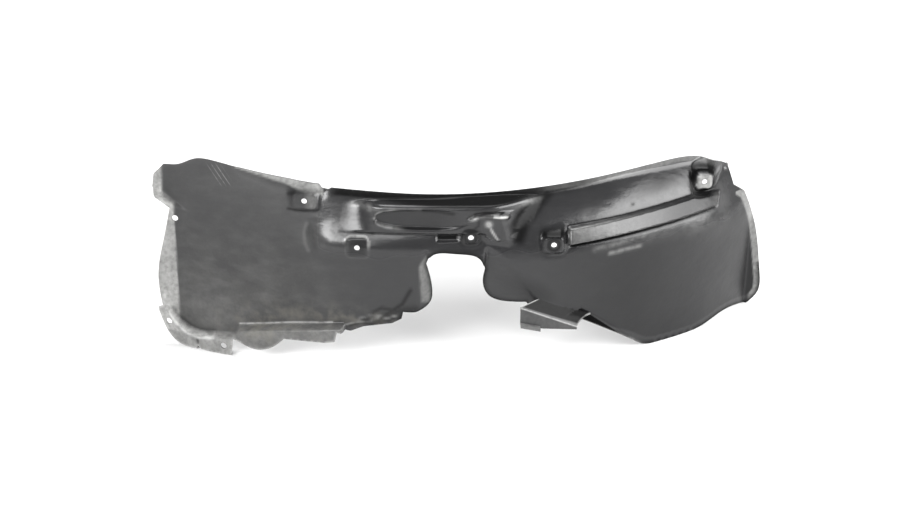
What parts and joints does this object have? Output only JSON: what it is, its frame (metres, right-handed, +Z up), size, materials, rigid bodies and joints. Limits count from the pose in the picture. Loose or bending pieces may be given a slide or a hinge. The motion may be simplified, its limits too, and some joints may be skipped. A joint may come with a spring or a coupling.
{
  "type": "wheel arch liner",
  "caption": "Thin moulded plastic wheel arch liner, curved along the arch, with a strut notch, a raised rib, flat screw pads, end lips and a stepped skirt; it shields the wheel housing.",
  "frame": {"origin": "middle of the bounding box, on the floor that the liner stands on", "axes": "+X along the arch to the right as seen from the outer side, +Y back towards the wheel, +Z up"},
  "size_m": [0.7814, 0.2176, 0.2354],
  "materials": {
    "liner": "black moulded polypropylene, satin, dusty and lightly scratched, greyed at the lips"
  },
  "bodies": {
    "root": {"arch_liner": "liner"}
  },
  "joints": []
}
